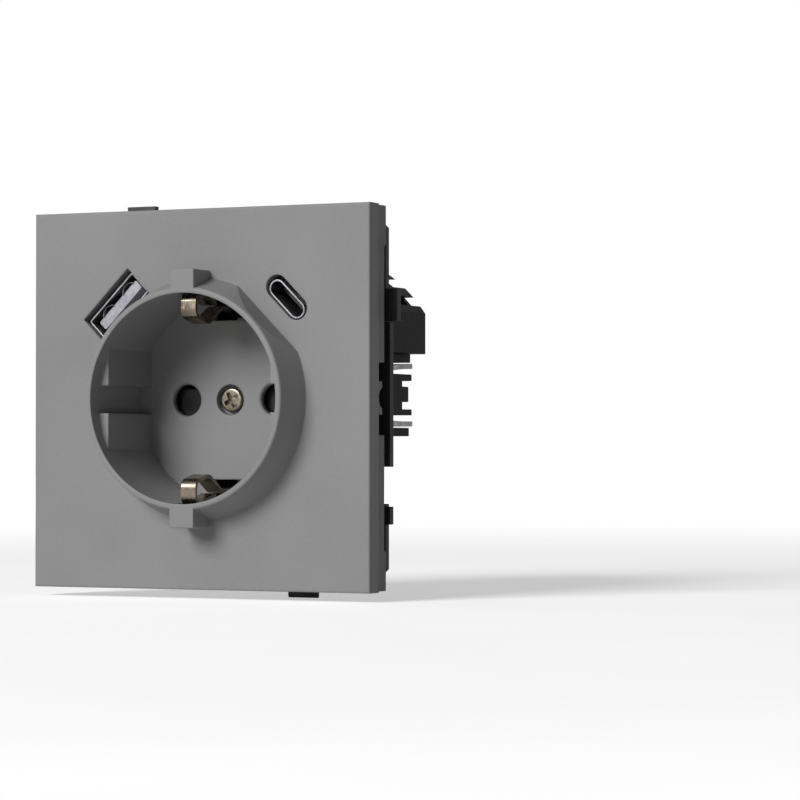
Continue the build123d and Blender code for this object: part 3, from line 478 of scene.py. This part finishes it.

# Cover plate with collar, ears and recess: one moulding, sprayed with a satin metallic grey
# lacquer whose fine flakes give it a soft grain, with the flakes' glints painted into its colour
# as lighter specks. The screw in its recess holds it.


def satin_lacquer():
    """Sprayed lacquer with fine metal flakes, their glints painted as lighter specks in the colour."""
    lacquer = Finish("plate_lacquer", Specular_IOR_Level=0.25).soft_edges(radius_mm=0.5)
    flakes = lacquer.noise(size_mm=0.16, detail=1)
    spray = lacquer.noise(size_mm=1.1, detail=3)
    clouds = lacquer.noise(size_mm=26.0)
    body = lacquer.blend(lacquer.between(clouds, low=0, high=1), tone("8f8f8f"), tone("959595"))
    # Painted glints: specks where the flakes would sparkle are painted a lighter grey (a2a2a2) in the
    # base colour.
    painted_flake_glints = lacquer.between(flakes, low=0, high=0.5, start=0.55, end=0.75)
    lacquer.colour(lacquer.blend(painted_flake_glints, body, tone("a2a2a2")))
    lacquer.roughness(lacquer.between(spray, low=0.4, high=0.48))
    return lacquer.relief(spray, depth_mm=0.006).relief(flakes, depth_mm=0.003)


plate_lacquer = satin_lacquer()
dress(plate_lacquer, "cover_plate")

# Cover screw: plated steel with a cross in its head, slightly warm in tone. It stands in the
# middle of the recess and pulls the cover plate towards the nut behind the earth strap.

screw_zinc = rolled_strip("screw_zinc", pale="b0a797", deep="7b7265", shine=0.22)
dress(screw_zinc, "cover_screw")

# Studio: pale floor, white surround and one large soft lamp in front at the left, with the camera
# in front at the right. The floor glows more and more with distance, so it meets the white.

background_white = 1.0
ambient_level = 0.055
mirrored_level = 0.3
near_glow, far_glow = 0.5, 0.9
near_reach, far_reach = 0.25, 0.9
floor_drop = 0.0002
floor_half = 2.0
floor_behind = 0.4
lamp_spot = Vector((-1.05, -2.85, 1.65))
lamp_side = 1.6
lamp_watts = 98.0
camera_spot = (0.27761, -0.5093, -0.0097)
camera_rise = 0.955
camera_turn = 25.303
camera_lens = 137.89
camera_sensor = 36.0


def seen_directly(tree):
    """1 where the ray comes from the camera or a transmission, less in a reflection, else 0."""
    path = tree.nodes.new("ShaderNodeLightPath")
    dimmed = tree.nodes.new("ShaderNodeMath")
    dimmed.operation = "MULTIPLY"
    dimmed.inputs[1].default_value = mirrored_level
    first = tree.nodes.new("ShaderNodeMath")
    second = tree.nodes.new("ShaderNodeMath")
    for step in (first, second):
        step.operation = "MAXIMUM"
    tree.links.new(path.outputs["Is Glossy Ray"], dimmed.inputs[0])
    tree.links.new(path.outputs["Is Camera Ray"], first.inputs[0])
    tree.links.new(dimmed.outputs[0], first.inputs[1])
    tree.links.new(first.outputs[0], second.inputs[0])
    tree.links.new(path.outputs["Is Transmission Ray"], second.inputs[1])
    return second.outputs[0]


world = bpy.data.worlds.new("surround")
bpy.context.scene.world = world
world.use_nodes = True
sky = world.node_tree
surround = sky.nodes["Background"]
level = sky.nodes.new("ShaderNodeMapRange")
level.inputs["To Min"].default_value = ambient_level
level.inputs["To Max"].default_value = background_white
sky.links.new(seen_directly(sky), level.inputs["Value"])
surround.inputs["Color"].default_value = (1, 1, 1, 1)
sky.links.new(level.outputs["Result"], surround.inputs["Strength"])


def glowing_paper():
    """Pale matte paper that glows by its distance from the middle, where it is seen directly."""
    paper = Finish("floor_paper", Roughness=0.9)
    clouds = paper.between(paper.noise(size_mm=40.0), low=0, high=1)
    paper.colour(paper.blend(clouds, tone("f2f2f2"), tone("f6f6f6")))
    paper.shader.inputs["Emission Color"].default_value = (1, 1, 1, 1)
    away = paper.node("ShaderNodeVectorMath", operation="LENGTH")
    paper.link(paper.place, away.inputs[0])
    glow = paper.node("ShaderNodeMath", operation="MULTIPLY")
    paper.link(paper.between(away.outputs["Value"], near_glow, far_glow, near_reach, far_reach),
               glow.inputs[0])
    paper.link(seen_directly(paper.tree), glow.inputs[1])
    paper.link(glow.outputs[0], paper.shader.inputs["Emission Strength"])
    return paper


def make_floor():
    """Large pale floor under the socket."""
    mesh = bpy.data.meshes.new("floor")
    shape = bmesh.new()
    spot = (0, floor_behind, solid_box[0][2] - floor_drop)
    bmesh.ops.create_grid(shape, x_segments=1, y_segments=1, size=floor_half,
                          matrix=Matrix.Translation(spot))
    shape.to_mesh(mesh)
    shape.free()
    mesh.materials.append(glowing_paper().material)
    floor = bpy.data.objects.new("floor", mesh)
    bpy.context.scene.collection.objects.link(floor)


make_floor()

softbox = bpy.data.lights.new("key_lamp", "AREA")
softbox.shape = "SQUARE"
softbox.size = lamp_side
softbox.energy = lamp_watts
key_lamp = bpy.data.objects.new("key_lamp", softbox)
bpy.context.scene.collection.objects.link(key_lamp)
key_lamp.location = lamp_spot
key_lamp.rotation_euler = (-lamp_spot).to_track_quat("-Z", "Y").to_euler()

camera = bpy.data.cameras.new("camera")
camera.sensor_width = camera_sensor
camera.lens = camera_lens
viewer = bpy.data.objects.new("camera", camera)
bpy.context.scene.collection.objects.link(viewer)
viewer.location = camera_spot
viewer.rotation_euler = (math.radians(90 + camera_rise), 0, math.radians(camera_turn))
bpy.context.scene.camera = viewer
bpy.context.scene.view_settings.view_transform = "Standard"
